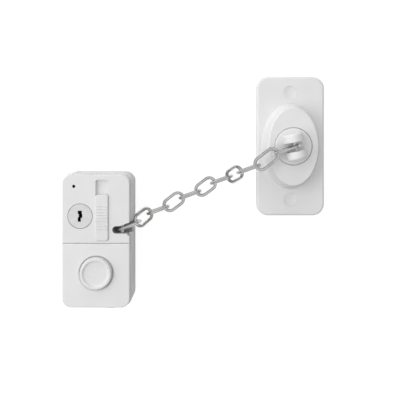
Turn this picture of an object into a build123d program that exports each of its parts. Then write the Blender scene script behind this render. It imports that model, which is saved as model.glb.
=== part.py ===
from build123d import *

import math
import os

# Driving sizes in mm. The alarm's back face lies on Z = 0 with its centre at the origin.
# +X runs from the alarm towards the keeper, +Y along the slide, +Z out of the mounting face.
UNIT_W, UNIT_H, UNIT_R = 48.6, 93.8, 7.2
BODY_D = 19.0
COVER_D = 6.0
INSET = 0.9
WALL = 2.2
FLOOR = 2.0
SKIN = 2.0
EDGE = 0.8
FACE_Z = BODY_D + COVER_D
SIDE, TOP_END, LOW_END = UNIT_W / 2, UNIT_H / 2, -UNIT_H / 2
PARTING_Y = LOW_END + 45.2
PARTING_GAP = 0.15

# Chain: round wire links, alternately on edge and flat.
WIRE = 2.5
LINK_IN = 13.2
LONG_IN = 15.8
LINK_IN_W = 6.2
LINK_PLAY = 0.2
LINK_COUNT = 11
LONG_LINKS = (10, 11)
EDGE_YAW, FLAT_YAW = 20.0, 37.6
FALL = (6.9, 40.5, 2.8)
RISE = (8.8, 12.0, 47.4, 0.0, 0.0, 0.0)
LOW_LINK = 5
LAY_GAP = 0.15

# Slide, bolt and the slot that takes the last link.
BOLT_R = 1.2
BOLT_X, BOLT_Z = SIDE - 6.9, 19.0
SLOT_Y, SLOT_H, SLOT_X = LOW_END + 54.6, 5.2, SIDE - 13.0
SLIDE_X, SLIDE_W = 28.5 - SIDE, 8.7
SLIDE_GAP, SLIDE_CORNER = 0.15, 1.4
SLIDE_LOW, SLIDE_TOP = PARTING_Y + 2.2, TOP_END - 15.0
SLIDE_TRAVEL = 10.3
TRACK_DEEP = 2.0
RIBS, RIB_PITCH = 9, 1.95
RIB_LOW = (SLIDE_LOW + SLIDE_TOP - (RIBS - 1) * RIB_PITCH) / 2 + 0.1

# Key switch, lamp and round button.
LOCK_X, LOCK_Y, LOCK_R = 13.4 - SIDE, LOW_END + 64.1, 8.5
LAMP_X, LAMP_Y, LAMP_R = 9.0 - SIDE, TOP_END - 9.1, 1.15
KNOB_X, KNOB_Y, KNOB_R, KNOB_RING = 0.1, LOW_END + 24.7, 11.3, 12.0
KNOB_RISE, KNOB_PRESS = 2.6, 1.5

# Keeper plate, boss and swivel.
PLATE_W, PLATE_H, PLATE_D, PLATE_R = 49.5, 101.6, 4.0, 8.5
PLATE_EDGE = 1.8
CAP_R, CAP_Y = 5.1, 39.0
SCREW_HOLE_R = 2.25
BOSS_W, BOSS_H = 42.6, 62.6
TOP_W, TOP_H, BOSS_Z = 35.2, 55.6, 16.5
SWIVEL_R, SWIVEL_GAP = 13.2, 0.22
SWIVEL_TURN = 12.0
EAR_W, EAR_T, EAR_GAP = 13.5, 5.8, 6.6
PIN_Z, PIN_R = 23.0, 1.35

# Cells in the battery bay.
CELL_R, CELL_L = 5.25, 44.5
CELL_X, CELL_LOW = SIDE - WALL - CELL_R - 0.95, LOW_END + 2.75
BOARD_Z, BOARD_T = 3.6, 1.6

os.makedirs("parts", exist_ok=True)


def save(shape, name):
    shape.label = name
    export_step(shape, f"parts/{name}.step")


def slab(width, height, radius, low, high, x=0.0, y=0.0):
    with BuildPart() as made:
        with BuildSketch(Plane((x, y, low))):
            RectangleRounded(width, height, radius)
        extrude(amount=high - low)
    return made.part


def block(x0, x1, y0, y1, z0, z1):
    with BuildPart() as made:
        with Locations(((x0 + x1) / 2, (y0 + y1) / 2, (z0 + z1) / 2)):
            Box(x1 - x0, y1 - y0, z1 - z0)
    return made.part


def rod(radius, x, y, low, high):
    with BuildPart() as made:
        with Locations((x, y, (low + high) / 2)):
            Cylinder(radius, high - low)
    return made.part


def rod_y(radius, x, z, low, high):
    with BuildPart() as made:
        with Locations(Location((x, (low + high) / 2, z), (90, 0, 0))):
            Cylinder(radius, high - low)
    return made.part


def ring(outer, inner, x, y, low, high):
    with BuildPart() as made:
        with Locations((x, y, (low + high) / 2)):
            Cylinder(outer, high - low)
            Cylinder(inner, high - low, mode=Mode.SUBTRACT)
    return made.part


def coil(radius, wire, turns, x, y, low, high, along_y=False):
    """A spring: a wire wound on a helix, with its axis along Z, or along Y for a cell contact."""
    with BuildPart() as made:
        with BuildLine() as path:
            Helix(pitch=(high - low - wire) / turns, height=high - low - wire, radius=radius)
        with BuildSketch(Plane(origin=path.line @ 0, z_dir=path.line % 0)):
            Circle(wire / 2)
        sweep()
    turned = Location((x, low + wire / 2, y), (-90, 0, 0)) if along_y else Location((x, y, low + wire / 2))
    return made.part.moved(turned)


# Chain route. Each link hooks the end bend of the one before it, where that bend faces the pull.
BEND = (LINK_IN_W + WIRE) / 2


def heading(yaw, climb):
    a, b = math.radians(yaw), math.radians(climb)
    return Vector(math.cos(b) * math.cos(a), math.cos(b) * math.sin(a), math.sin(b))


def inner_length(number):
    return LONG_IN if number in LONG_LINKS else LINK_IN


def lay_chain(fall, rise):
    """Places of the links for the two slope scales: centre, direction, normal and pivot of each."""
    climbs = [-fall * a for a in FALL]
    climbs += [0.0] * (LINK_COUNT - len(FALL) - len(RISE))
    climbs += [rise * a for a in RISE]
    placed = []
    for number in range(1, LINK_COUNT + 1):
        yaw = EDGE_YAW if number % 2 else FLAT_YAW
        along = heading(yaw, climbs[number - 1])
        length = inner_length(number) + WIRE
        if number == 1:
            pivot = Vector(BOLT_X, SLOT_Y + 0.5, BOLT_Z)
            normal = heading(yaw + 90, 0)
            reach = BOLT_R + LINK_PLAY + WIRE / 2
        else:
            last_centre, last_along, last_normal, _, last_length = placed[-1]
            facing = (along - last_normal * along.dot(last_normal)).normalized()
            pivot = last_centre + last_along * (last_length / 2 - BEND) + facing * BEND
            normal = last_normal.cross(facing).normalized()
            reach = WIRE + LINK_PLAY
        centre = pivot + along * (length / 2 - reach)
        placed.append((centre, along, normal, pivot, length))
    pin = centre + along * (length / 2 - WIRE / 2 - LINK_PLAY - PIN_R)
    return placed, pin


def root(error, low, high):
    for _ in range(60):
        middle = (low + high) / 2
        if error(middle) > 0:
            high = middle
        else:
            low = middle
    return (low + high) / 2


LAY_Z = LINK_IN_W / 2 + WIRE + LAY_GAP
fall_scale = root(lambda s: LAY_Z - lay_chain(s, 1.0)[0][LOW_LINK - 1][0].Z, 0.2, 2.0)
rise_scale = root(lambda s: lay_chain(fall_scale, s)[1].Z - PIN_Z, 0.2, 2.0)
links, pin_at = lay_chain(fall_scale, rise_scale)
KEEPER_X, KEEPER_Y = pin_at.X, pin_at.Y


def link_solid(length):
    half = length / 2 - BEND
    with BuildPart() as made:
        with Locations(Location((half, 0, 0), (0, 0, -90)), Location((-half, 0, 0), (0, 0, 90))):
            Torus(BEND, WIRE / 2, major_angle=180, align=None)
        with Locations(Location((0, BEND, 0), (0, 90, 0)), Location((0, -BEND, 0), (0, 90, 0))):
            Cylinder(WIRE / 2, 2 * half)
    return made.part


for number, (centre, along, normal, pivot, length) in enumerate(links, 1):
    frame = Plane(origin=centre, x_dir=along, z_dir=normal)
    save(link_solid(length).moved(Location(frame)), f"chain_link_{number:02d}")

# Alarm unit: rear body, a tray with the battery bay, posts and wall screw holes.
CELL_BAY_TOP = CELL_LOW + CELL_L + 4.4
BODY_POSTS = (
    (SLIDE_X - 8.15, TOP_END - 4.75),
    (SIDE - 5.6, TOP_END - 5.75),
    (SLIDE_X - 7.85, PARTING_Y + 4.4),
)
KNOB_POSTS = ((KNOB_X, KNOB_Y + 12.6), (KNOB_X, KNOB_Y - 12.6))
BOARD_POSTS = (
    (5.0 - SIDE, CELL_BAY_TOP + 4.4),
    (SIDE - 5.0, CELL_BAY_TOP + 9.4),
    (10.0, TOP_END - 12.6),
    (5.0 - SIDE, TOP_END - 13.6),
)
WALL_HOLES = ((0.0, KNOB_Y + 17.9), (0.0, KNOB_Y - 18.7))
KNOB_BOARD_Z = 13.4
SLOT_FLOOR = BOLT_Z - LINK_IN_W / 2 - WIRE - 0.9
EXIT_FLOOR = SLOT_FLOOR - 2.4
POCKET_SKIN = 1.4
BAY_WALL_TOP = SLOT_FLOOR - POCKET_SKIN - 0.3

with BuildPart() as rear_body:
    add(slab(UNIT_W, UNIT_H, UNIT_R, 0, BODY_D))
    fillet(rear_body.edges().group_by(Axis.Z)[0], 1.0)
    fillet(rear_body.edges().group_by(Axis.Z)[-1], 0.4)
    add(
        slab(UNIT_W - 2 * WALL, UNIT_H - 2 * WALL, UNIT_R - WALL, FLOOR, BODY_D),
        mode=Mode.SUBTRACT,
    )
    # cradle ribs under each cell, and the bay's end wall above the cells
    for x in (-CELL_X, CELL_X):
        for y in (CELL_LOW + 8.3, CELL_LOW + 22.3, CELL_LOW + 36.3):
            add(block(x - 5.0, x + 5.0, y - 0.7, y + 0.7, FLOOR, FLOOR + 2.0))
    for x in (-CELL_X, CELL_X):
        add(block(x - 5.8, x + 5.8, CELL_BAY_TOP, CELL_BAY_TOP + 1.2, FLOOR, BAY_WALL_TOP))
    for x in (-CELL_X, CELL_X):
        add(rod_y(CELL_R + 0.15, x, FLOOR + CELL_R + 0.3, CELL_LOW - 0.1, CELL_BAY_TOP), mode=Mode.SUBTRACT)
    with Locations(*[(x, y, FLOOR) for x, y in BODY_POSTS]):
        Cylinder(2.9, 3.4, align=(Align.CENTER, Align.CENTER, Align.MIN))
    with Locations(*[(x, y, FLOOR) for x, y in KNOB_POSTS]):
        Cylinder(2.2, KNOB_BOARD_Z - FLOOR, align=(Align.CENTER, Align.CENTER, Align.MIN))
        Cylinder(0.9, KNOB_BOARD_Z - FLOOR + 1.5, align=(Align.CENTER, Align.CENTER, Align.MIN))
    with Locations(*[(x, y, FLOOR) for x, y in BOARD_POSTS]):
        Cylinder(1.8, BOARD_Z - FLOOR, align=(Align.CENTER, Align.CENTER, Align.MIN))
    with Locations(*[(x, y, 0) for x, y in BODY_POSTS]):
        Cylinder(1.5, 12, align=(Align.CENTER, Align.CENTER, Align.MIN), mode=Mode.SUBTRACT)
        Cylinder(2.6, 2.4, align=(Align.CENTER, Align.CENTER, Align.MIN), mode=Mode.SUBTRACT)
    with Locations(*[(x, y, 0) for x, y in WALL_HOLES]):
        Cylinder(2.2, 2 * FLOOR + 2, mode=Mode.SUBTRACT)
    # the chain leaves through the right wall
    with BuildSketch(Plane((0, 0, EXIT_FLOOR))):
        with BuildLine():
            Polyline(
                (UNIT_W / 2 - WALL - 1, SLOT_Y - SLOT_H / 2),
                (UNIT_W / 2 + 1, SLOT_Y - SLOT_H / 2),
                (UNIT_W / 2 + 1, SLOT_Y + SLOT_H / 2 + 3.3),
                (UNIT_W / 2 - WALL - 1, SLOT_Y + SLOT_H / 2 + 1.8),
                close=True,
            )
        make_face()
    extrude(amount=BODY_D, mode=Mode.SUBTRACT)
save(rear_body.part, "rear_body")

# Front covers: one shell parted across, upper cover fixed, lower cover over the cells.
COVER_W, COVER_H, COVER_R = UNIT_W - 2 * INSET, UNIT_H - 2 * INSET, UNIT_R - INSET


def cover_half(low, high, wall_low, wall_high):
    """The part of the front shell between two Y values, with its own end wall at the parting."""
    with BuildPart() as made:
        add(slab(COVER_W, COVER_H, COVER_R, BODY_D, FACE_Z))
        add(block(-UNIT_W, UNIT_W, low, high, 0, 2 * FACE_Z), mode=Mode.INTERSECT)
        fillet(made.edges().group_by(Axis.Z)[-1], EDGE)
        with BuildPart(mode=Mode.PRIVATE) as hollow:
            add(
                slab(
                    COVER_W - 2 * SKIN,
                    COVER_H - 2 * SKIN,
                    COVER_R - SKIN,
                    BODY_D,
                    FACE_Z - SKIN,
                )
            )
            add(block(-UNIT_W, UNIT_W, wall_low, wall_high, 0, 2 * FACE_Z), mode=Mode.INTERSECT)
        add(hollow.part, mode=Mode.SUBTRACT)
    return made.part


TRACK_TOP = SLIDE_TOP + SLIDE_TRAVEL + SLIDE_GAP
TRACK_LOW = SLIDE_LOW - SLIDE_GAP
ARM_LOW = SLOT_Y + 4.6 + 0.3
ARM_TOP = ARM_LOW + 5.7
STEM_LOW, STEM_TOP, STEM_W = ARM_LOW + 1.2, SLIDE_TOP - SLIDE_TRAVEL - 0.8, 4.4
TRACK_FLOOR = FACE_Z - TRACK_DEEP
TRACK_SKIN = 1.4

# the slot's lower corner rounds off into the cover's right side
MOUTH_R = 1.9
MOUTH_X, MOUTH_Y = SIDE - INSET - MOUTH_R, SLOT_Y - SLOT_H / 2 - MOUTH_R

with BuildPart() as front_cover:
    add(cover_half(PARTING_Y + PARTING_GAP / 2, UNIT_H, PARTING_Y + 1.9, UNIT_H))
    # lip that centres the cover inside the rear body
    with BuildPart(mode=Mode.PRIVATE) as lip:
        in_w, in_h, in_r = UNIT_W - 2 * WALL, UNIT_H - 2 * WALL, UNIT_R - WALL
        add(slab(in_w - 0.4, in_h - 0.4, in_r - 0.2, BODY_D - 1.8, BODY_D + 0.5))
        add(
            slab(in_w - 2.8, in_h - 2.8, in_r - 1.4, BODY_D - 2, BODY_D + 1),
            mode=Mode.SUBTRACT,
        )
        add(block(-UNIT_W, UNIT_W, SLOT_Y + 7.6, UNIT_H, 0, 2 * FACE_Z), mode=Mode.INTERSECT)
    add(lip.part)
    # track for the slide, with a floor under it and a slit for the stem
    track_under = TRACK_FLOOR - TRACK_SKIN
    add(block(SLIDE_X - 6.0, SLIDE_X + 6.0, TRACK_LOW - 1.2, TRACK_TOP + 1.0, track_under, FACE_Z - SKIN))
    add(
        slab(
            SLIDE_W + 2 * SLIDE_GAP, TRACK_TOP - TRACK_LOW, SLIDE_CORNER + SLIDE_GAP,
            TRACK_FLOOR, FACE_Z + 1, SLIDE_X, (TRACK_TOP + TRACK_LOW) / 2,
        ),
        mode=Mode.SUBTRACT,
    )
    add(
        block(
            SLIDE_X - STEM_W / 2 - 0.25,
            SLIDE_X + STEM_W / 2 + 0.25,
            STEM_LOW - 0.25,
            STEM_TOP + SLIDE_TRAVEL + 0.25,
            TRACK_FLOOR - TRACK_SKIN - 1,
            TRACK_FLOOR + 1,
        ),
        mode=Mode.SUBTRACT,
    )
    # pocket for the chain end
    pocket_under = SLOT_FLOOR - POCKET_SKIN
    add(block(SLOT_X - 2.0, SIDE - WALL - 0.2, SLOT_Y - 4.4, SLOT_Y + 4.6, pocket_under, FACE_Z - 0.5))
    with BuildSketch(Plane((0, 0, SLOT_FLOOR))):
        with BuildLine():
            Polyline(
                (MOUTH_X, SLOT_Y - SLOT_H / 2),
                (SLOT_X + SLOT_H / 2, SLOT_Y - SLOT_H / 2),
                (SLOT_X + SLOT_H / 2, SLOT_Y + SLOT_H / 2),
                (BOLT_X - 1.2, SLOT_Y + SLOT_H / 2),
                (SIDE + 1, SLOT_Y + SLOT_H / 2 + 3.3),
                (SIDE + 1, MOUTH_Y),
                (SIDE - INSET, MOUTH_Y),
            )
            RadiusArc((SIDE - INSET, MOUTH_Y), (MOUTH_X, SLOT_Y - SLOT_H / 2), MOUTH_R)
        make_face()
        with Locations((SLOT_X + SLOT_H / 2, SLOT_Y)):
            Circle(SLOT_H / 2)
    extrude(amount=FACE_Z, mode=Mode.SUBTRACT)
    # the pocket's floor runs down to the right, as the chain leaves
    with BuildSketch(Plane.XZ.offset(-(SLOT_Y + SLOT_H / 2))):
        with BuildLine():
            Polyline(
                (BOLT_X - 2, SLOT_FLOOR + 0.1),
                (UNIT_W / 2 + 1, SLOT_FLOOR + 0.1),
                (UNIT_W / 2 + 1, SLOT_FLOOR - 1.2),
                close=True,
            )
        make_face()
    extrude(amount=SLOT_H, mode=Mode.SUBTRACT)
    # bolt hole across the slot, blind at the far wall
    add(rod_y(BOLT_R + 0.15, BOLT_X, BOLT_Z, SLOT_Y - 4.3, SLOT_Y + 9), mode=Mode.SUBTRACT)
    add(rod(LOCK_R + 0.2, LOCK_X, LOCK_Y, FACE_Z - 8, FACE_Z + 1), mode=Mode.SUBTRACT)
    add(rod(LAMP_R, LAMP_X, LAMP_Y, FACE_Z - 8, FACE_Z + 1), mode=Mode.SUBTRACT)
    # screw posts from the back
    with Locations(*[(x, y, 5.6) for x, y in BODY_POSTS]):
        Cylinder(2.5, FACE_Z - SKIN - 5.6 + 0.5, align=(Align.CENTER, Align.CENTER, Align.MIN))
    with Locations(*[(x, y, 5.6) for x, y in BODY_POSTS]):
        Cylinder(1.1, 9.0, align=(Align.CENTER, Align.CENTER, Align.MIN), mode=Mode.SUBTRACT)
save(front_cover.part, "front_cover")

with BuildPart() as battery_cover:
    add(cover_half(-UNIT_H, PARTING_Y - PARTING_GAP / 2, -UNIT_H, PARTING_Y - 1.9))
    # side clips reach into the body, and a nail lip stands out at the lower edge
    for x in (WALL + 1.0 - SIDE, SIDE - WALL - 1.0):
        add(block(x - 0.6, x + 0.6, KNOB_Y - 8.5, KNOB_Y - 0.5, BODY_D - 3.5, BODY_D + 1.5))
        add(block(x - 0.6, x + 0.6, KNOB_Y + 7.5, KNOB_Y + 13.5, BODY_D - 3.5, BODY_D + 1.5))
    add(block(6.8, 12.2, -UNIT_H / 2 - 0.35, -COVER_H / 2 + 1.0, BODY_D + 0.6, BODY_D + 2.2))
    # round well of the button
    add(ring(KNOB_RING + 1.8, KNOB_RING - 0.4, KNOB_X, KNOB_Y, FACE_Z - SKIN - 1.6, FACE_Z - 0.5))
    add(rod(KNOB_RING - 0.35, KNOB_X, KNOB_Y, BODY_D, FACE_Z + 1), mode=Mode.SUBTRACT)
    with Locations((KNOB_X, KNOB_Y, FACE_Z - 0.45)):
        Cone(KNOB_RING - 0.35, KNOB_RING + 0.5, 0.9, mode=Mode.SUBTRACT)
save(battery_cover.part, "battery_cover")

# Round button: dished cap with a raised rim, skirt, stem and a flange behind the cover.
KNOB_TOP = FACE_Z + KNOB_RISE
KNOB_FLANGE_Z = FACE_Z - SKIN - 1.6 - 0.25
STEM_END = 20.0
KNOB_UNDER = KNOB_TOP - 3.2
with BuildPart() as push_button:
    with BuildSketch(Plane.XZ):
        with BuildLine():
            Polyline(
                (0, KNOB_TOP - 0.95),
                (0, STEM_END),
                (2.0, STEM_END),
                (2.0, KNOB_UNDER),
                (KNOB_R - 2.0, KNOB_UNDER),
                (KNOB_R - 2.0, KNOB_FLANGE_Z - 0.8),
                (KNOB_RING + 0.6, KNOB_FLANGE_Z - 0.8),
                (KNOB_RING + 0.6, KNOB_FLANGE_Z),
                (KNOB_R, KNOB_FLANGE_Z),
                (KNOB_R, KNOB_TOP - 1.2),
            )
            ThreePointArc(
                (KNOB_R, KNOB_TOP - 1.2),
                (KNOB_R - 0.35, KNOB_TOP - 0.35),
                (KNOB_R - 1.2, KNOB_TOP),
            )
            Line((KNOB_R - 1.2, KNOB_TOP), (KNOB_R - 2.0, KNOB_TOP))
            ThreePointArc(
                (KNOB_R - 2.0, KNOB_TOP),
                (KNOB_R - 2.5, KNOB_TOP - 0.15),
                (KNOB_R - 2.8, KNOB_TOP - 0.55),
            )
            ThreePointArc(
                (KNOB_R - 2.8, KNOB_TOP - 0.55),
                ((KNOB_R - 2.8) / 2, KNOB_TOP - 0.85),
                (1.5, KNOB_TOP - 0.95),
            )
            Line((1.5, KNOB_TOP - 0.95), (0, KNOB_TOP - 0.95))
        make_face()
    revolve(axis=Axis.Z)
save(push_button.part.moved(Location((KNOB_X, KNOB_Y, 0))), "push_button")

with BuildPart() as button_board:
    add(block(KNOB_X - 7.5, KNOB_X + 7.5, KNOB_Y - 15.2, KNOB_Y + 15.2, KNOB_BOARD_Z, KNOB_BOARD_Z + 1.2))
    with Locations(*[(x, y, KNOB_BOARD_Z) for x, y in KNOB_POSTS]):
        Cylinder(1.0, 6, mode=Mode.SUBTRACT)
save(button_board.part, "button_board")

SWITCH_TOP = KNOB_BOARD_Z + 1.2 + 3.4
with BuildPart() as button_switch:
    add(block(KNOB_X - 3, KNOB_X + 3, KNOB_Y - 3, KNOB_Y + 3, KNOB_BOARD_Z + 1.2, SWITCH_TOP))
    add(rod(1.6, KNOB_X, KNOB_Y, SWITCH_TOP - 0.5, SWITCH_TOP + 0.2))
save(button_switch.part, "button_switch")
save(
    coil(6.0, 0.6, 3, KNOB_X, KNOB_Y, KNOB_BOARD_Z + 1.2, KNOB_UNDER),
    "button_spring",
)

# Sounder between the cells: a can with a piezo disc on its mouth.
CAN_R = CELL_X - CELL_R - abs(KNOB_X) - 0.95
with BuildPart() as sounder_can:
    add(ring(CAN_R, CAN_R - 1.0, KNOB_X, KNOB_Y, FLOOR, FLOOR + 7.6))
    add(rod(CAN_R - 0.6, KNOB_X, KNOB_Y, FLOOR, FLOOR + 1.0))
    add(ring(CAN_R - 0.6, CAN_R - 2.2, KNOB_X, KNOB_Y, FLOOR + 6.0, FLOOR + 7.0))
save(sounder_can.part, "sounder_can")
save(rod(CAN_R - 1.1, KNOB_X, KNOB_Y, FLOOR + 7.0, FLOOR + 7.5), "piezo_disc")

# Slide: thumb piece with ribs, carriage behind the track, and the bolt it drives.
THUMB_TOP = FACE_Z + 1.0
with BuildPart() as slide_thumb:
    add(
        slab(
            SLIDE_W,
            SLIDE_TOP - SLIDE_LOW,
            SLIDE_CORNER,
            TRACK_FLOOR + 0.15,
            THUMB_TOP,
            SLIDE_X,
            (SLIDE_TOP + SLIDE_LOW) / 2,
        )
    )
    fillet(slide_thumb.edges().group_by(Axis.Z)[-1], 0.45)
    for number in range(RIBS):
        y = RIB_LOW + number * RIB_PITCH
        with Locations(Location((SLIDE_X, y, THUMB_TOP - 0.12), (0, 90, 0))):
            Cylinder(0.42, SLIDE_W - 0.9)
    add(
        block(
            SLIDE_X - STEM_W / 2,
            SLIDE_X + STEM_W / 2,
            STEM_LOW,
            STEM_TOP,
            TRACK_FLOOR - TRACK_SKIN - 0.2,
            TRACK_FLOOR + 0.3,
        )
    )
save(slide_thumb.part, "slide_thumb")

CARRIAGE_TOP = TRACK_FLOOR - TRACK_SKIN - 0.2
with BuildPart() as slide_carriage:
    add(block(SLIDE_X - 4.2, SLIDE_X + 4.2, ARM_LOW, ARM_LOW + 11.7, CARRIAGE_TOP - 1.8, CARRIAGE_TOP))
    add(block(SLIDE_X - 1.0, BOLT_X + 2.8, ARM_LOW, ARM_TOP, CARRIAGE_TOP - 1.8, CARRIAGE_TOP))
    add(block(BOLT_X - 2.8, BOLT_X + 2.8, ARM_LOW, ARM_TOP, BOLT_Z - 2.6, CARRIAGE_TOP))
    add(rod_y(BOLT_R, BOLT_X, BOLT_Z, ARM_LOW - 1, ARM_TOP - 1.0), mode=Mode.SUBTRACT)
save(slide_carriage.part, "slide_carriage")
with BuildPart() as lock_bolt:
    add(rod_y(BOLT_R, BOLT_X, BOLT_Z, SLOT_Y - 4.0, ARM_TOP - 1.0))
    chamfer(lock_bolt.edges().group_by(Axis.Y)[0], 0.4)
save(lock_bolt.part, "lock_bolt")

# Key switch: barrel fixed in the cover, plug with its keyway, cam, nut and the switch it works.
PLUG_FACE = FACE_Z + 0.15
with BuildPart() as lock_barrel:
    add(ring(LOCK_R - 0.5, 4.75, LOCK_X, LOCK_Y, 9.2, FACE_Z - 3.2))
    add(ring(LOCK_R + 0.05, 4.75, LOCK_X, LOCK_Y, FACE_Z - 4.8, FACE_Z - 3.2))
save(lock_barrel.part, "lock_barrel")
with BuildPart() as key_plug:
    add(rod(LOCK_R - 0.05, LOCK_X, LOCK_Y, FACE_Z - 3.0, PLUG_FACE))
    fillet(key_plug.edges().group_by(Axis.Z)[-1], 0.35)
    add(rod(4.5, LOCK_X, LOCK_Y, 8.0, FACE_Z - 2.5))
    # stepped keyway
    with BuildSketch(Plane((LOCK_X, LOCK_Y, 11.0))):
        with BuildLine():
            Polyline(
                (-1.55, 3.8),
                (1.3, 3.8),
                (1.3, 1.5),
                (1.6, 1.5),
                (1.6, -1.2),
                (0.6, -1.2),
                (0.6, -3.8),
                (-1.55, -3.8),
                (-1.55, -0.8),
                (-0.9, -0.8),
                (-0.9, 1.6),
                (-1.55, 1.6),
                close=True,
            )
        make_face()
    extrude(amount=FACE_Z, mode=Mode.SUBTRACT)
save(key_plug.part, "key_plug")
with BuildPart() as key_cam:
    add(ring(3.6, 1.5, LOCK_X, LOCK_Y, 6.7, 8.0))
    add(block(LOCK_X + 2.6, LOCK_X + 8.4, LOCK_Y - 1.8, LOCK_Y + 1.8, 6.7, 8.0))
save(key_cam.part, "key_cam")
with BuildPart() as cam_screw:
    add(rod(1.5, LOCK_X, LOCK_Y, 6.0, 8.0))
    add(rod(2.7, LOCK_X, LOCK_Y, 5.6, 6.7))
save(cam_screw.part, "cam_screw")
with BuildPart() as key_switch:
    add(block(LOCK_X + 10.2, LOCK_X + 15.6, LOCK_Y - 4, LOCK_Y + 4, BOARD_Z + BOARD_T, 11.0))
    add(block(LOCK_X + 9.2, LOCK_X + 10.4, LOCK_Y - 1, LOCK_Y + 1, 6.9, 7.9))
save(key_switch.part, "key_switch")

# Board in the upper half, the lamp and the switch under the carriage.
BOARD_TOP = TOP_END - 11.6
with BuildPart() as circuit_board:
    half = SIDE - WALL - 0.5
    add(block(-half, half, CELL_BAY_TOP + 2.0, BOARD_TOP, BOARD_Z, BOARD_Z + BOARD_T))
    add(block(4.4 - SIDE, -10.0, BOARD_TOP, BOARD_TOP + 4.8, BOARD_Z, BOARD_Z + BOARD_T))
save(circuit_board.part, "circuit_board")
with BuildPart() as lamp:
    add(rod(1.5, LAMP_X, LAMP_Y, 18.2, FACE_Z - SKIN - 1.6))
    with Locations((LAMP_X, LAMP_Y, FACE_Z - SKIN - 1.6)):
        Sphere(1.5)
    add(rod(1.8, LAMP_X, LAMP_Y, 17.4, 18.4))
    add(block(LAMP_X - 1.5, LAMP_X - 1.0, LAMP_Y - 0.25, LAMP_Y + 0.25, BOARD_Z + BOARD_T, 17.6))
    add(block(LAMP_X + 1.0, LAMP_X + 1.5, LAMP_Y - 0.25, LAMP_Y + 0.25, BOARD_Z + BOARD_T, 17.6))
save(lamp.part, "lamp")
with BuildPart() as slide_switch:
    add(block(BOLT_X - 7.1, BOLT_X - 1.1, ARM_LOW + 9.2, ARM_LOW + 15.2, BOARD_Z + BOARD_T, 14.0))
    add(block(BOLT_X - 5.1, BOLT_X - 3.1, ARM_LOW + 10.2, ARM_LOW + 12.2, 13.8, 15.2))
save(slide_switch.part, "slide_switch")

# Cells and their contacts.
CELL_Z = FLOOR + CELL_R + 0.3
with BuildPart() as cell:
    add(rod_y(CELL_R, 0, CELL_Z, CELL_LOW + 0.5, CELL_LOW + CELL_L - 1.0))
    fillet(cell.edges(), 0.5)
    add(rod_y(1.9, 0, CELL_Z, CELL_LOW + CELL_L - 1.4, CELL_LOW + CELL_L - 0.2))
turned = cell.part.mirror(Plane.XZ.offset(-(CELL_LOW + CELL_L / 2 + 0.15)))
save(cell.part.moved(Location((CELL_X, 0, 0))), "cell_right")
save(turned.moved(Location((-CELL_X, 0, 0))), "cell_left")
CELL_END = CELL_LOW + CELL_L - 0.2


def contact_plate(x, y):
    return block(x - 4.0, x + 4.0, y, y + 0.4, FLOOR, BAY_WALL_TOP - 0.2)


with BuildPart() as contact_plates:
    add(contact_plate(CELL_X, CELL_BAY_TOP - 0.4))
    add(contact_plate(-CELL_X, CELL_BAY_TOP - 0.4))
save(contact_plates.part, "contact_plates")
with BuildPart() as contact_springs:
    add(coil(2.6, 0.6, 3, CELL_X, CELL_Z, CELL_END + 0.05, CELL_BAY_TOP - 0.45, True))
    add(coil(2.6, 0.6, 3, -CELL_X, CELL_Z, CELL_END + 0.05, CELL_BAY_TOP - 0.45, True))
save(contact_springs.part, "contact_springs")

with BuildPart() as case_screws:
    for x, y in BODY_POSTS:
        add(rod(2.4, x, y, 0.6, 2.4))
        add(rod(1.1, x, y, 2.0, 13.0))
        add(block(x - 2.5, x + 2.5, y - 0.35, y + 0.35, 0, 1.2), mode=Mode.SUBTRACT)
        add(block(x - 0.35, x + 0.35, y - 2.5, y + 2.5, 0, 1.2), mode=Mode.SUBTRACT)
save(case_screws.part, "case_screws")

# Keeper: plate and tapered boss in one moulding, hollow behind with ribs.
SHELF_Z, SHELF_T, SPINDLE_R = 11.4, 3.0, 5.0
PLATE_SKIN, RIB_T = 2.0, 1.6


def oval(base_w, base_h, base_z, top_w, top_h, top_z):
    with BuildPart() as made:
        with BuildSketch(Plane.XY.offset(base_z)):
            Ellipse(base_w / 2, base_h / 2)
        with BuildSketch(Plane.XY.offset(top_z)):
            Ellipse(top_w / 2, top_h / 2)
        loft()
    return made.part


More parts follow.
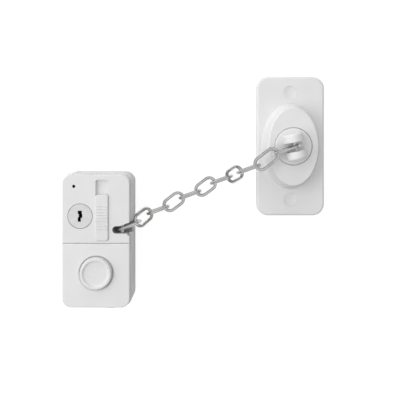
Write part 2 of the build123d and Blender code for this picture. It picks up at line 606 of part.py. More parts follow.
with BuildPart() as keeper_plate:
    add(slab(PLATE_W, PLATE_H, PLATE_R, 0, PLATE_D))
    fillet(keeper_plate.edges().group_by(Axis.Z)[-1], PLATE_EDGE)
    add(slab(PLATE_W - 4.4, PLATE_H - 4.4, PLATE_R - 2.2, 0, PLATE_D - PLATE_SKIN), mode=Mode.SUBTRACT)
    with BuildPart(mode=Mode.PRIVATE) as boss:
        add(oval(BOSS_W, BOSS_H, PLATE_D - 0.6, TOP_W, TOP_H, BOSS_Z))
        fillet(boss.edges().group_by(Axis.Z)[-1], 1.0)
    add(boss.part)
    add(
        oval(BOSS_W - 5.2, BOSS_H - 5.2, -0.2, TOP_W - 5.6, TOP_H - 5.6, SHELF_Z - SHELF_T),
        mode=Mode.SUBTRACT,
    )
    # ribs behind the plate, round the swivel's seat and the two screw holes
    for x in (-9.4, 9.4):
        add(block(x - RIB_T / 2, x + RIB_T / 2, -PLATE_H / 2 + 1, PLATE_H / 2 - 1, 0, PLATE_D - 1.0))
    for y in (-29.0, -15.0, 15.0, 29.0):
        add(block(-PLATE_W / 2 + 1, PLATE_W / 2 - 1, y - RIB_T / 2, y + RIB_T / 2, 0, PLATE_D - 1.0))
    for x in (-9.4, 9.4):
        add(block(x - RIB_T / 2, x + RIB_T / 2, -20.0, 20.0, 0, SHELF_Z - 1))
    for y in (-15.0, 15.0):
        add(block(-14.0, 14.0, y - RIB_T / 2, y + RIB_T / 2, 0, SHELF_Z - 1))
    for y in (-CAP_Y, CAP_Y):
        add(rod(CAP_R + 1.8, 0, y, 0, PLATE_D - 0.5))
    # swivel seat
    add(rod(SWIVEL_R + SWIVEL_GAP, 0, 0, SHELF_Z, BOSS_Z + 1), mode=Mode.SUBTRACT)
    add(rod(SPINDLE_R + 0.2, 0, 0, 0, SHELF_Z + 1), mode=Mode.SUBTRACT)
    # screw holes under round caps
    for y in (-CAP_Y, CAP_Y):
        add(rod(CAP_R, 0, y, PLATE_D - 2.4, PLATE_D + 1), mode=Mode.SUBTRACT)
        add(rod(SCREW_HOLE_R, 0, y, -1, PLATE_D), mode=Mode.SUBTRACT)

KEEPER = Location((KEEPER_X, KEEPER_Y, 0))
save(keeper_plate.part.moved(KEEPER), "keeper_plate")


def screw_cap(y):
    """A plug over a screw hole: its face is dished and lies a little below the plate."""
    with BuildPart() as made:
        add(rod(CAP_R - 0.05, 0, y, PLATE_D - 2.4, PLATE_D - 0.25))
        with Locations((0, y, PLATE_D + 24.2)):
            Sphere(24.9, mode=Mode.SUBTRACT)
        add(rod(CAP_R - 1.2, 0, y, PLATE_D - 2.5, PLATE_D - 1.7), mode=Mode.SUBTRACT)
    return made.part


save(screw_cap(CAP_Y).moved(KEEPER), "screw_cap_upper")
save(screw_cap(-CAP_Y).moved(KEEPER), "screw_cap_lower")

# Swivel: a turning disc with two ears for the chain pin, held from behind.
DISC_TOP = BOSS_Z + 0.3
with BuildPart() as swivel:
    add(rod(SWIVEL_R, 0, 0, SHELF_Z + 0.2, DISC_TOP))
    fillet(swivel.edges().group_by(Axis.Z)[-1], 1.1)
    add(rod(SPINDLE_R, 0, 0, SHELF_Z - SHELF_T - 0.2, SHELF_Z + 0.5))
    for side in (-1, 1):
        low = EAR_GAP / 2 if side > 0 else -EAR_GAP / 2 - EAR_T
        with BuildPart(mode=Mode.PRIVATE) as ear:
            add(rod_y(EAR_W / 2, 0, PIN_Z, low, low + EAR_T))
            add(block(-EAR_W / 2, EAR_W / 2, low, low + EAR_T, DISC_TOP - 1.5, PIN_Z))
            outer = ear.faces().sort_by(Axis.Y)[-1 if side > 0 else 0]
            fillet(outer.edges().filter_by(lambda e: (e @ 0.5).Z > DISC_TOP), 1.6)
        add(ear.part)
    add(rod_y(PIN_R, 0, PIN_Z, -EAR_GAP / 2 - EAR_T + 1.2, EAR_GAP / 2 + EAR_T - 1.2), mode=Mode.SUBTRACT)
    add(rod(1.6, 0, 0, 0, SHELF_Z + 1.5), mode=Mode.SUBTRACT)
SWIVEL = KEEPER * Location((0, 0, 0), (0, 0, SWIVEL_TURN))
save(swivel.part.moved(SWIVEL), "swivel")
save(
    rod_y(PIN_R, 0, PIN_Z, -EAR_GAP / 2 - EAR_T + 1.2, EAR_GAP / 2 + EAR_T - 1.2).moved(SWIVEL),
    "chain_pin",
)
WASHER_TOP = SHELF_Z - SHELF_T - 0.2
save(ring(7.6, 1.7, 0, 0, WASHER_TOP - 1.2, WASHER_TOP).moved(SWIVEL), "swivel_washer")
with BuildPart() as swivel_screw:
    add(rod(3.3, 0, 0, WASHER_TOP - 3.4, WASHER_TOP - 1.2))
    add(rod(1.6, 0, 0, WASHER_TOP - 1.3, SHELF_Z + 1.3))
    add(block(-3.4, 3.4, -0.4, 0.4, WASHER_TOP - 4, WASHER_TOP - 2.4), mode=Mode.SUBTRACT)
    add(block(-0.4, 0.4, -3.4, 3.4, WASHER_TOP - 4, WASHER_TOP - 2.4), mode=Mode.SUBTRACT)
save(swivel_screw.part.moved(SWIVEL), "swivel_screw")
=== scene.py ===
"""Door chain alarm: finishes, small fasteners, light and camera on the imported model."""
import math

import bmesh
import bpy
from mathutils import Matrix, Vector


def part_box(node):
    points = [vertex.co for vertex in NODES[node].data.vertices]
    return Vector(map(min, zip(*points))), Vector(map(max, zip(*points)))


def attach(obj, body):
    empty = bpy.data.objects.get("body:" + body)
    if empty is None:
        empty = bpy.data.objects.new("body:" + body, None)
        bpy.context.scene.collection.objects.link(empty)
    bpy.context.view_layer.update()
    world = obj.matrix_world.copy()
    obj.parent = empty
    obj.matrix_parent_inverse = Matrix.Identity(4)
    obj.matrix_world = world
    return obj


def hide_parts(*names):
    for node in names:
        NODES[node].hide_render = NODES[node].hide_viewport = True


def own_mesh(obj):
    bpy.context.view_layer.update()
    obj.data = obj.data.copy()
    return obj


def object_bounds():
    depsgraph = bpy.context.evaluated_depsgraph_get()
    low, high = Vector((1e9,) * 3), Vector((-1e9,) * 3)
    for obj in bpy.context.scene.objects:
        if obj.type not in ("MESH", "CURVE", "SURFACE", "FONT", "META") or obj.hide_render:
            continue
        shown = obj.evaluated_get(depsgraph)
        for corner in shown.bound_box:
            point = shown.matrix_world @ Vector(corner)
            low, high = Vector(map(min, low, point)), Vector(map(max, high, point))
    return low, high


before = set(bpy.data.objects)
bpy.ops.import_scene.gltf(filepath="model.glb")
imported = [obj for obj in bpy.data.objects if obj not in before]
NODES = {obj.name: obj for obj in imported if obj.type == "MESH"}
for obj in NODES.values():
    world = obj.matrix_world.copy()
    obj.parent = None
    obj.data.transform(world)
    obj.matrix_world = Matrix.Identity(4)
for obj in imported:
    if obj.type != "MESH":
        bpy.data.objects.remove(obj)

CAD_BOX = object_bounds()
LINKS = sorted(name for name in NODES if name.startswith("chain_link_"))
MM_PER_M = 1000
FULL_TURN = 2 * math.pi

# sockets of a Mix node that mixes colours
MIX_FACTOR, MIX_LOW, MIX_HIGH, MIX_RESULT = 0, 6, 7, 2


# Shader steps

def new_group(name, inputs, outputs):
    """An empty shader group with named sockets."""
    group = bpy.data.node_groups.new(name, "ShaderNodeTree")
    for label, kind, value in inputs:
        socket = group.interface.new_socket(label, in_out="INPUT", socket_type="NodeSocket" + kind)
        if value is not None:
            socket.default_value = value
    for label in outputs:
        group.interface.new_socket(label, in_out="OUTPUT", socket_type="NodeSocketFloat")
    return group, group.nodes.new("NodeGroupInput"), group.nodes.new("NodeGroupOutput")


def noise(tree, place, scale, detail=2.0, roughness=0.5):
    """A noise texture's grey output. Its scale comes from a socket."""
    node = tree.nodes.new("ShaderNodeTexNoise")
    node.inputs["Detail"].default_value = detail
    node.inputs["Roughness"].default_value = roughness
    tree.links.new(place, node.inputs["Vector"])
    tree.links.new(scale, node.inputs["Scale"])
    return node.outputs["Fac"]


def math_node(tree, operation, first, second=None):
    """One arithmetic step. Each side is a number or an output socket."""
    node = tree.nodes.new("ShaderNodeMath")
    node.operation = operation
    for socket, value in zip(node.inputs, (first, second)):
        if value is None:
            continue
        if isinstance(value, (int, float)):
            socket.default_value = value
        else:
            tree.links.new(value, socket)
    return node.outputs["Value"]


def span(tree, value, low, high, to_low=0.0, to_high=1.0):
    """Maps low..high to to_low..to_high, smoothly and clamped."""
    node = tree.nodes.new("ShaderNodeMapRange")
    node.interpolation_type = "SMOOTHSTEP"
    tree.links.new(value, node.inputs["Value"])
    for label, number in (("From Min", low), ("From Max", high), ("To Min", to_low), ("To Max", to_high)):
        node.inputs[label].default_value = number
    return node.outputs["Result"]


def turned(tree, place, angles=(0, 0, 0), scale=(1, 1, 1), shift=(0, 0, 0)):
    """The coordinates turned, stretched and moved."""
    node = tree.nodes.new("ShaderNodeMapping")
    node.inputs["Rotation"].default_value = [math.radians(a) for a in angles]
    node.inputs["Scale"].default_value = scale
    node.inputs["Location"].default_value = shift
    tree.links.new(place, node.inputs["Vector"])
    return node.outputs["Vector"]


def axes(tree, place):
    """The X, Y and Z of the coordinates, as outputs."""
    node = tree.nodes.new("ShaderNodeSeparateXYZ")
    tree.links.new(place, node.inputs["Vector"])
    return node.outputs


def distance_from_axis(tree, place, centre):
    """How far a point lies from an upright axis through a centre."""
    about = turned(tree, place, shift=(-centre[0], -centre[1], 0.0))
    flat = tree.nodes.new("ShaderNodeVectorMath")
    flat.operation = "MULTIPLY"
    flat.inputs[1].default_value = (1.0, 1.0, 0.0)
    tree.links.new(about, flat.inputs[0])
    reach = tree.nodes.new("ShaderNodeVectorMath")
    reach.operation = "LENGTH"
    tree.links.new(flat.outputs["Vector"], reach.inputs[0])
    return reach.outputs["Value"]


def inside_box(tree, place, low, high, fade=0.0006):
    """1 inside a box in metres, fading out at its sides."""
    inside = 1.0
    for axis, start, end in zip("XYZ", low, high):
        value = axes(tree, place)[axis]
        after_start = span(tree, value, start, start + fade)
        before_end = span(tree, value, end, end - fade)
        between = math_node(tree, "MULTIPLY", after_start, before_end)
        inside = math_node(tree, "MULTIPLY", inside, between)
    return inside


def tint(tree, factor, low, high):
    """A colour between low and high by a grey value."""
    node = tree.nodes.new("ShaderNodeMix")
    node.data_type = "RGBA"
    for socket, colour in ((node.inputs[MIX_LOW], low), (node.inputs[MIX_HIGH], high)):
        if isinstance(colour, bpy.types.NodeSocket):
            tree.links.new(colour, socket)
        else:
            socket.default_value = (*colour, 1.0)
    tree.links.new(factor, node.inputs[MIX_FACTOR])
    return node.outputs[MIX_RESULT]


def grey(shade, blue=0.0):
    """A grey, with a little more or less blue where asked."""
    return shade, shade, shade + blue


# Shader groups that several finishes use

def make_surface_grain():
    """Fine grain for bumps, and slow patches for colour and gloss."""
    group, start, end = new_group(
        "surface_grain",
        [("Vector", "Vector", None), ("Grain", "Float", 4000.0), ("Patches", "Float", 60.0)],
        ["Height", "Tone"],
    )
    place = start.outputs["Vector"]
    fine = noise(group, place, start.outputs["Grain"], roughness=0.6)
    slow = noise(group, place, start.outputs["Patches"], detail=4.0, roughness=0.55)
    group.links.new(fine, end.inputs["Height"])
    group.links.new(span(group, slow, 0.3, 0.7), end.inputs["Tone"])
    return group


def make_rub_marks():
    """Thin scratches in two directions, gathered in patches."""
    group, start, end = new_group(
        "rub_marks",
        [("Vector", "Vector", None), ("Lines", "Float", 900.0), ("Patches", "Float", 70.0)],
        ["Marks"],
    )
    place = start.outputs["Vector"]
    # how each direction is turned and stretched, and where its scratches start and are full
    one_way, other_way = ((20, 15, 38), 0.04, 0.63, 0.72), ((-35, 10, -52), 0.05, 0.65, 0.74)
    strokes = []
    for angles, stretch, faint, full in (one_way, other_way):
        drawn_out = turned(group, place, angles, (stretch, 1, 1))
        strokes.append(span(group, noise(group, drawn_out, start.outputs["Lines"]), faint, full))
    lines = math_node(group, "MAXIMUM", *strokes)
    patch = span(group, noise(group, place, start.outputs["Patches"]), 0.42, 0.66)
    group.links.new(math_node(group, "MULTIPLY", lines, patch), end.inputs["Marks"])
    return group


GRAIN = make_surface_grain()
RUBS = make_rub_marks()


# Finishes

def new_finish(name):
    """A material, its node tree, its shader and the piece's own coordinates."""
    finish = bpy.data.materials.new(name)
    finish.use_nodes = True
    tree = finish.node_tree
    place = tree.nodes.new("ShaderNodeTexCoord").outputs["Object"]
    return finish, tree, tree.nodes["Principled BSDF"], place


def place_group(tree, group, place, **values):
    """A group's outputs in a material, with its own values."""
    node = tree.nodes.new("ShaderNodeGroup")
    node.node_tree = group
    tree.links.new(place, node.inputs["Vector"])
    for label, value in values.items():
        node.inputs[label].default_value = value
    return node.outputs


def set_gloss(tree, shader, roughness, marks, wear):
    """The shader's roughness, raised where rub marks lie."""
    worn = math_node(tree, "MULTIPLY", marks, wear)
    tree.links.new(math_node(tree, "ADD", roughness, worn), shader.inputs["Roughness"])


def bump(tree, shader, height, depth):
    """A bump of that depth in metres on the shader's normal."""
    node = tree.nodes.new("ShaderNodeBump")
    node.inputs["Strength"].default_value = 1.0
    node.inputs["Distance"].default_value = depth
    tree.links.new(height, node.inputs["Height"])
    tree.links.new(node.outputs["Normal"], shader.inputs["Normal"])


def moulded_plastic(name, low, high, gloss, grain=4200.0, depth=0.00003, painted_shade_box=None):
    """Moulded plastic: spark grain, slow tone patches, a few rub marks, and a box of painted shade if given.
    """
    painted_shade_grey = grey(0.50)
    finish, tree, shader, place = new_finish(name)
    texture = place_group(tree, GRAIN, place, Grain=grain, Patches=55.0)
    marks = place_group(tree, RUBS, place, Lines=800.0, Patches=60.0)["Marks"]
    colour = tint(tree, texture["Tone"], low, high)
    if painted_shade_box:
        # painted shade: grey inside the box, standing in for the deep shadow in the chain slot
        colour = tint(tree, inside_box(tree, place, *painted_shade_box), colour, painted_shade_grey)
    tree.links.new(colour, shader.inputs["Base Color"])
    patchy = span(tree, texture["Tone"], 0.0, 1.0, gloss - 0.05, gloss + 0.05)
    set_gloss(tree, shader, patchy, marks, wear=0.16)
    bump(tree, shader, math_node(tree, "SUBTRACT", texture["Height"], marks), depth)
    return finish


def plated_metal(name, low, high, gloss, metal=1.0):
    """Plated or drawn metal: bright, with clouded patches and fine handling scratches."""
    finish, tree, shader, place = new_finish(name)
    texture = place_group(tree, GRAIN, place, Grain=2600.0, Patches=190.0)
    marks = place_group(tree, RUBS, place, Lines=1200.0, Patches=160.0)["Marks"]
    tree.links.new(tint(tree, texture["Tone"], low, high), shader.inputs["Base Color"])
    shader.inputs["Metallic"].default_value = metal
    clouded = span(tree, texture["Tone"], 0.0, 1.0, gloss + 0.06, gloss - 0.03)
    set_gloss(tree, shader, clouded, marks, wear=0.14)
    bump(tree, shader, math_node(tree, "SUBTRACT", texture["Height"], marks), depth=0.00002)
    return finish


def turned_face(name, centre, low, high):
    """Satin metal with the rings that a lathe leaves round its centre, and a keyway that turns dark grey
    below the face.
    """
    ring_pitch, ring_height = 0.00034, 0.35
    keyway_dark_grey, full_dark_depth, dark_start_depth = grey(0.10), 0.0012, 0.0004
    finish, tree, shader, place = new_finish(name)
    texture = place_group(tree, GRAIN, place, Grain=5200.0, Patches=240.0)
    marks = place_group(tree, RUBS, place, Lines=1400.0, Patches=200.0)["Marks"]
    reach = distance_from_axis(tree, place, centre)
    rings = math_node(tree, "SINE", math_node(tree, "MULTIPLY", reach, FULL_TURN / ring_pitch))
    toward_face = span(tree, axes(tree, place)["Z"], centre[2] - full_dark_depth, centre[2] - dark_start_depth)
    face = tint(tree, texture["Tone"], low, high)
    # dark grey deeper than the face, in the keyway
    tree.links.new(tint(tree, toward_face, keyway_dark_grey, face), shader.inputs["Base Color"])
    shader.inputs["Metallic"].default_value = 0.6
    set_gloss(tree, shader, span(tree, rings, -1.0, 1.0, 0.36, 0.46), marks, wear=0.12)
    height = math_node(tree, "ADD", math_node(tree, "MULTIPLY", rings, ring_height), texture["Height"])
    bump(tree, shader, height, depth=0.000015)
    return finish


def board_finish():
    """Solder mask over copper tracks."""
    mask_low, mask_high, over_track = (0.008, 0.075, 0.026), (0.012, 0.105, 0.036), (0.025, 0.19, 0.066)
    finish, tree, shader, place = new_finish("board_mask")
    cells = tree.nodes.new("ShaderNodeTexVoronoi")
    cells.distance = "CHEBYCHEV"
    cells.inputs["Scale"].default_value = 260.0
    cells.inputs["Randomness"].default_value = 0.6
    tree.links.new(turned(tree, place, scale=(1, 1, 0)), cells.inputs["Vector"])
    tracks = span(tree, math_node(tree, "PINGPONG", cells.outputs["Distance"], 0.16), 0.10, 0.13)
    texture = place_group(tree, GRAIN, place, Grain=3000.0, Patches=120.0)
    mask = tint(tree, texture["Tone"], mask_low, mask_high)
    tree.links.new(tint(tree, tracks, mask, over_track), shader.inputs["Base Color"])
    tree.links.new(span(tree, texture["Tone"], 0.0, 1.0, 0.28, 0.4), shader.inputs["Roughness"])
    bump(tree, shader, math_node(tree, "ADD", tracks, texture["Height"]), depth=0.00004)
    return finish


def cell_finish(name, low_y, high_y, up):
    """Cell jacket: a dark sleeve, a pale band near the raised end, and bare steel at both ends."""
    sleeve_low, sleeve_high = (0.022, 0.024, 0.03), (0.034, 0.036, 0.043)
    band_colour, steel = (0.5, 0.36, 0.2), (0.66, 0.65, 0.63)
    flat_end, band_start, raised_end, edge = 0.02, 0.735, 0.945, 0.004
    finish, tree, shader, place = new_finish(name)
    above_low = math_node(tree, "SUBTRACT", axes(tree, place)["Y"], low_y)
    share = math_node(tree, "DIVIDE", above_low, high_y - low_y)
    if not up:
        share = math_node(tree, "SUBTRACT", 1.0, share)
    texture = place_group(tree, GRAIN, place, Grain=2400.0, Patches=90.0)
    sleeve = tint(tree, texture["Tone"], sleeve_low, sleeve_high)
    band = tint(tree, span(tree, share, band_start, band_start + edge), sleeve, band_colour)
    flat_steel = span(tree, share, flat_end + edge, flat_end)
    raised_steel = span(tree, share, raised_end, raised_end + edge)
    ends = math_node(tree, "MAXIMUM", flat_steel, raised_steel)
    tree.links.new(tint(tree, ends, band, steel), shader.inputs["Base Color"])
    tree.links.new(ends, shader.inputs["Metallic"])
    tree.links.new(span(tree, texture["Tone"], 0.0, 1.0, 0.26, 0.36), shader.inputs["Roughness"])
    bump(tree, shader, texture["Height"], depth=0.00002)
    return finish


def dark_resin():
    """Smoked resin of the lamp."""
    resin_low, resin_high = (0.006, 0.004, 0.004), (0.014, 0.008, 0.008)
    finish, tree, shader, place = new_finish("lamp_smoked_resin")
    texture = place_group(tree, GRAIN, place, Grain=3600.0, Patches=700.0)
    tree.links.new(tint(tree, texture["Tone"], resin_low, resin_high), shader.inputs["Base Color"])
    tree.links.new(span(tree, texture["Tone"], 0.0, 1.0, 0.12, 0.2), shader.inputs["Roughness"])
    bump(tree, shader, texture["Height"], depth=0.000008)
    return finish


def middle(node):
    """The centre of a node's box."""
    low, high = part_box(node)
    return [(a + b) / 2 for a, b in zip(low, high)]


# the chain slot in the front cover, which gets painted shade: lowest and highest corner, in metres
CHAIN_SLOT = (0.0104, 0.0044, 0.003), (0.0231, 0.0110, 0.0242)
KEY_FACE_CENTRE = (*middle("key_plug")[:2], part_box("key_plug")[1][2])

WHITE_SHELL = moulded_plastic("white_moulded_shell", grey(0.77, 0.002), grey(0.795, 0.002), 0.5)
WHITE_SMOOTH = moulded_plastic(
    "white_smooth_moving", grey(0.75, 0.002), grey(0.775, 0.002), 0.28, grain=5200.0, depth=0.000015)
# the front cover, with painted shade inside its chain slot
SLOTTED_SHELL = moulded_plastic(
    "white_shell_painted_slot_shade", grey(0.76, 0.002), grey(0.785, 0.002), 0.5, painted_shade_box=CHAIN_SLOT)
INNER_DARK = moulded_plastic("inner_dark_plastic", grey(0.06), grey(0.09), 0.5)
BLACK_SWITCH = moulded_plastic("black_switch_plastic", grey(0.014, 0.001), grey(0.024, 0.001), 0.42)
CHAIN_STEEL = plated_metal("chain_plated_steel", grey(0.57, -0.005), grey(0.69, -0.005), 0.23)
BOLT_STEEL = plated_metal("bolt_bright_steel", grey(0.88, -0.01), grey(0.94, -0.01), 0.3, metal=0.25)
LOCK_ZINC = plated_metal("lock_cast_zinc", grey(0.52, 0.01), grey(0.62, 0.01), 0.36)
LOCK_FACE = turned_face("key_face_satin", KEY_FACE_CENTRE, grey(0.77), grey(0.84))
SCREW_STEEL = plated_metal("screw_zinc_plate", (0.50, 0.51, 0.53), grey(0.62), 0.27)
BRASS_DISC = plated_metal("disc_brass", (0.58, 0.40, 0.14), (0.68, 0.49, 0.20), 0.3)
CONTACT_NICKEL = plated_metal("contact_nickel", (0.60, 0.58, 0.54), (0.70, 0.68, 0.63), 0.22)

FINISHES = {
    WHITE_SHELL: ["rear_body", "battery_cover", "keeper_plate", "swivel"],
    SLOTTED_SHELL: ["front_cover"],
    WHITE_SMOOTH: ["push_button", "slide_thumb", "screw_cap_upper", "screw_cap_lower"],
    INNER_DARK: ["slide_carriage", "swivel_washer"],
    BLACK_SWITCH: ["sounder_can", "button_switch", "key_switch", "slide_switch"],
    CHAIN_STEEL: LINKS + ["chain_pin"],
    BOLT_STEEL: ["lock_bolt"],
    LOCK_ZINC: ["lock_barrel", "key_cam"],
    LOCK_FACE: ["key_plug"],
    SCREW_STEEL: ["case_screws", "cam_screw", "swivel_screw", "button_spring"],
    BRASS_DISC: ["piezo_disc"],
    CONTACT_NICKEL: ["contact_plates", "contact_springs"],
    board_finish(): ["circuit_board", "button_board"],
    dark_resin(): ["lamp"],
}
for cell, up in (("cell_left", True), ("cell_right", False)):
    low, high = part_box(cell)
    FINISHES[cell_finish(cell + "_jacket", low[1], high[1], up)] = [cell]
for finish, names in FINISHES.items():
    for name in names:
        NODES[name].data.materials.clear()
        NODES[name].data.materials.append(finish)


# Turned button, spring and screws

def lathe(profile, steps=36):
    """A closed turned shape from a profile of (radius, height) in mm, round Z."""
    shape = bmesh.new()
    points = [shape.verts.new((radius / MM_PER_M, 0.0, height / MM_PER_M)) for radius, height in profile]
    edges = [shape.edges.new(pair) for pair in zip(points, points[1:])]
    bmesh.ops.spin(
        shape, geom=points + edges, cent=(0, 0, 0), axis=(0, 0, 1), angle=FULL_TURN, steps=steps,
        use_merge=True, use_duplicate=False)
    bmesh.ops.remove_doubles(shape, verts=shape.verts, dist=1e-7)
    bmesh.ops.recalc_face_normals(shape, faces=shape.faces)
    return shape


def to_object(name, shape):
    """The shape as an object at the origin, smooth where it curves."""
    sharp_from = math.radians(35)
    mesh = bpy.data.meshes.new(name)
    shape.to_mesh(mesh)
    shape.free()
    mesh.shade_smooth()
    mesh.set_sharp_from_angle(angle=sharp_from)
    made = bpy.data.objects.new(name, mesh)
    bpy.context.collection.objects.link(made)
    return made


def cross_recess(head, reach, width, depth):
    """Cuts a tapered cross, in mm, into a head whose face lies at Z = 0 and looks down."""
    taper = 0.55
    shape = bmesh.new()
    for half_x, half_y in ((reach, width), (width, reach)):
        ends = bmesh.ops.create_cube(shape, size=2.0)["verts"]
        size = (half_x / MM_PER_M, half_y / MM_PER_M, depth / MM_PER_M)
        bmesh.ops.scale(shape, vec=size, verts=ends)
        tips = [v for v in ends if v.co.z > 0]
        bmesh.ops.scale(shape, vec=(taper, taper, 1.0), verts=tips)
    cutter = to_object("recess_cutter", shape)
    cut = head.modifiers.new("recess", "BOOLEAN")
    cut.operation = "DIFFERENCE"
    cut.solver = "EXACT"
    cut.use_self = True
    cut.object = cutter
    bpy.context.view_layer.update()
    carved_head = head.evaluated_get(bpy.context.evaluated_depsgraph_get())
    carved = bpy.data.meshes.new_from_object(carved_head)
    head.modifiers.clear()
    head.data = carved
    bpy.data.objects.remove(cutter)


def cross_screw(name, head_r, head_h, shank_r, length, pitch):
    """A pan-head screw, in mm: domed face, cross recess and ringed thread."""
    root_r, edge, neck, runout, point = shank_r * 0.8, 0.12, 0.5, 1.4, 1.2
    profile = [(0.0, 0.0), (head_r * 0.62, 0.04), (head_r * 0.86, 0.16), (head_r * 0.97, 0.42)]
    profile += [(head_r, 0.7), (head_r, head_h - edge), (head_r - edge, head_h), (root_r, head_h)]
    height = head_h + neck
    while height < length - runout:
        profile += [(root_r, height), (shank_r, height + pitch * 0.35), (shank_r, height + pitch * 0.45)]
        height += pitch
    profile += [(root_r, length - point), (0.0, length)]
    screw = to_object(name, lathe(profile))
    cross_recess(screw, reach=head_r * 0.58, width=head_r * 0.17, depth=min(head_h, 1.3) * 0.75)
    return screw


def head_places(node):
    """Centres of the round faces at a node's lowest level."""
    same_level, same_head = 1e-5, 0.006
    mesh = NODES[node].data
    low = min(v.co.z for v in mesh.vertices)
    heads = []
    for point in (v.co.copy() for v in mesh.vertices if v.co.z < low + same_level):
        near = [head for head in heads if (head[0] - point).length < same_head]
        if near:
            near[0].append(point)
        else:
            heads.append([point])
    centres = []
    for head in heads:
        xs, ys = [p.x for p in head], [p.y for p in head]
        centres.append(Vector(((min(xs) + max(xs)) / 2, (min(ys) + max(ys)) / 2, low)))
    return centres


def seat_screws(name, node, body, turns, **sizes):
    """Screws in the places of a node's own, each with its cross at another angle in degrees."""
    one = cross_screw(name, **sizes)
    shape = bmesh.new()
    for place, turn in zip(head_places(node), turns):
        pattern = one.data.copy()
        pattern.transform(Matrix.Translation(place) @ Matrix.Rotation(math.radians(turn), 4, "Z"))
        shape.from_mesh(pattern)
        bpy.data.meshes.remove(pattern)
    shape.to_mesh(one.data)
    shape.free()
    one.data.materials.clear()
    one.data.materials.append(SCREW_STEEL)
    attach(one, body)
    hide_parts(node)


def turned_button():
    """The round button: a shallow dish, an inner step, a low rim, and a shoulder under the cover's face."""
    low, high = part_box("push_button")
    x, y, _ = middle("push_button")
    top, face, base = high[2] * MM_PER_M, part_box("battery_cover")[1][2] * MM_PER_M, low[2] * MM_PER_M
    stem_r, hollow_r, skirt_r, flange_r = 2.0, 9.3, 11.3, 12.6
    roof, flange_top, flange_foot = top - 3.2, face - 3.85, face - 4.65
    # radius, and depth below the button's top
    dish = [(0.0, 0.85), (4.0, 0.83), (7.0, 0.77), (8.3, 0.7), (8.5, 0.6)]
    step = [(8.65, 0.3), (8.85, 0.11), (9.2, 0.04)]
    rim = [(10.2, 0.03), (10.5, 0.09), (10.7, 0.25), (10.75, 0.6)]
    # radius, and depth below the cover's face
    shoulder = [(10.95, 0.3), (11.2, 0.5), (skirt_r, 0.8)]
    profile = [(radius, top - depth) for radius, depth in dish + step + rim]
    profile += [(radius, face - depth) for radius, depth in shoulder]
    profile += [(skirt_r, flange_top), (flange_r, flange_top), (flange_r, flange_foot)]
    profile += [(hollow_r, flange_foot), (hollow_r, roof), (stem_r, roof), (stem_r, base), (0.0, base)]
    button = to_object("turned_button", lathe(profile, steps=96))
    button.data.transform(Matrix.Translation((x, y, 0.0)))
    button.data.materials.append(WHITE_SMOOTH)
    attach(button, "button")
    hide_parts("push_button")


def wound_spring():
    """The button's return spring: open turns between two closed end turns. The real one shortens under the
    button; this one keeps one length.
    """
    low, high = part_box("button_spring")
    x, y, _ = middle("button_spring")
    wire, tall = 0.0006, high[2] - low[2]
    closed = wire * 1.05
    open_turns, steps_per_turn = 3, 40
    shape = bmesh.new()
    ring = bmesh.ops.create_circle(shape, segments=10, radius=wire / 2)["verts"]
    bmesh.ops.rotate(shape, verts=ring, cent=(0, 0, 0), matrix=Matrix.Rotation(math.pi / 2, 3, "X"))
    bmesh.ops.translate(shape, verts=ring, vec=((high[0] - low[0] - wire) / 2, 0.0, wire / 2))
    grown = shape.verts[:] + shape.edges[:]
    for turns, rise in ((1, closed), (open_turns, tall - wire - 2 * closed), (1, closed)):
        steps = steps_per_turn * turns
        grown = bmesh.ops.spin(
            shape, geom=grown, cent=(0, 0, 0), axis=(0, 0, 1), dvec=(0, 0, rise / steps),
            angle=FULL_TURN * turns, steps=steps, use_merge=False, use_duplicate=False)["geom_last"]
    bmesh.ops.holes_fill(shape, edges=[edge for edge in shape.edges if edge.is_boundary], sides=0)
    bmesh.ops.recalc_face_normals(shape, faces=shape.faces)
    bmesh.ops.translate(shape, verts=shape.verts, vec=(x, y, low[2]))
    spring = to_object("wound_spring", shape)
    spring.data.materials.append(SCREW_STEEL)
    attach(spring, "alarm")
    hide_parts("button_spring")
    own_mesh(spring)


turned_button()
wound_spring()
seat_screws(
    "case_screw_set", "case_screws", "alarm", turns=(12, 55, 80),
    head_r=2.4, head_h=1.8, shank_r=1.1, length=12.4, pitch=0.9)
seat_screws(
    "swivel_pan_screw", "swivel_screw", "swivel", turns=(33,),
    head_r=3.3, head_h=2.2, shank_r=1.6, length=7.9, pitch=0.8)


# Floor, light and camera

def light_path_mask(tree):
    """1 for rays from the camera, from gloss and through clear stuff."""
    path = tree.nodes.new("ShaderNodeLightPath")
    seen = math_node(tree, "MAXIMUM", path.outputs["Is Camera Ray"], path.outputs["Is Glossy Ray"])
    return math_node(tree, "MAXIMUM", seen, path.outputs["Is Transmission Ray"])


def floor_finish():
    """Matt grey that glows to the camera, so that it reads as white and keeps a soft shadow."""
    matt_grey, glow_strength = grey(0.25), 0.87
    finish = bpy.data.materials.new("floor_white")
    finish.use_nodes = True
    tree = finish.node_tree
    tree.nodes.remove(tree.nodes["Principled BSDF"])
    matt = tree.nodes.new("ShaderNodeBsdfDiffuse")
    matt.inputs["Color"].default_value = (*matt_grey, 1.0)
    glow = tree.nodes.new("ShaderNodeEmission")
    seen_glow = math_node(tree, "MULTIPLY", light_path_mask(tree), glow_strength)
    tree.links.new(seen_glow, glow.inputs["Strength"])
    both = tree.nodes.new("ShaderNodeAddShader")
    tree.links.new(matt.outputs["BSDF"], both.inputs[0])
    tree.links.new(glow.outputs["Emission"], both.inputs[1])
    tree.links.new(both.outputs["Shader"], tree.nodes["Material Output"].inputs["Surface"])
    return finish


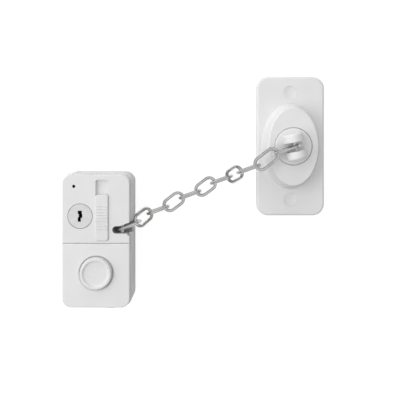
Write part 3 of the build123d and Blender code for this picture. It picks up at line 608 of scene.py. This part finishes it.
def make_floor():
    """A plain pale floor, just under the part."""
    half_width, gap = 30.0, 0.0002
    shape = bmesh.new()
    bmesh.ops.create_grid(shape, x_segments=1, y_segments=1, size=half_width)
    mesh = bpy.data.meshes.new("floor")
    shape.to_mesh(mesh)
    shape.free()
    floor = bpy.data.objects.new("floor", mesh)
    bpy.context.collection.objects.link(floor)
    floor.data.materials.append(floor_finish())
    floor.location.z = CAD_BOX[0][2] - gap


def make_world():
    """A soft room: a white band at the horizon, dim walls and a bright ceiling."""
    white, walls, ceiling = grey(1.0), grey(0.17), grey(0.81)
    band_fades, ceiling_fades = (0.05, 0.09), (0.15, 0.95)
    world = bpy.data.worlds.new("soft_room")
    world.use_nodes = True
    tree = world.node_tree
    height = axes(tree, tree.nodes.new("ShaderNodeTexCoord").outputs["Generated"])["Z"]
    room = tint(tree, span(tree, height, *ceiling_fades), walls, ceiling)
    band = tint(tree, span(tree, height, *band_fades), white, room)
    tree.links.new(band, tree.nodes["Background"].inputs["Color"])
    bpy.context.scene.world = world


def soft_lamp(name, place, size, power):
    """A square soft lamp that faces the middle of the part and doesn't show in its gloss."""
    part_middle = Vector((0.06, 0.04, 0.01))
    lamp = bpy.data.lights.new(name, "AREA")
    lamp.shape = "SQUARE"
    lamp.size = size
    lamp.energy = power
    holder = bpy.data.objects.new(name, lamp)
    holder.location = place
    holder.visible_glossy = False
    aim = part_middle - Vector(place)
    holder.rotation_euler = aim.to_track_quat("-Z", "Y").to_euler()
    bpy.context.collection.objects.link(holder)


def make_camera():
    """Straight down on the part, with the frame set lower than the lens."""
    lens = bpy.data.cameras.new("photo_camera")
    lens.sensor_width = 36.0
    lens.lens = 46.17
    lens.shift_y = -0.154
    camera = bpy.data.objects.new("photo_camera", lens)
    camera.location = (0.0719, 0.0709, 0.379)
    bpy.context.collection.objects.link(camera)
    bpy.context.scene.camera = camera


bpy.context.scene.view_settings.view_transform = "Standard"
make_floor()
make_world()
soft_lamp("key_lamp", place=(-0.98, 0.24, 0.60), size=1.5, power=13.2)
soft_lamp("top_lamp", place=(0.0, 1.2, 0.20), size=0.8, power=5.8)
make_camera()
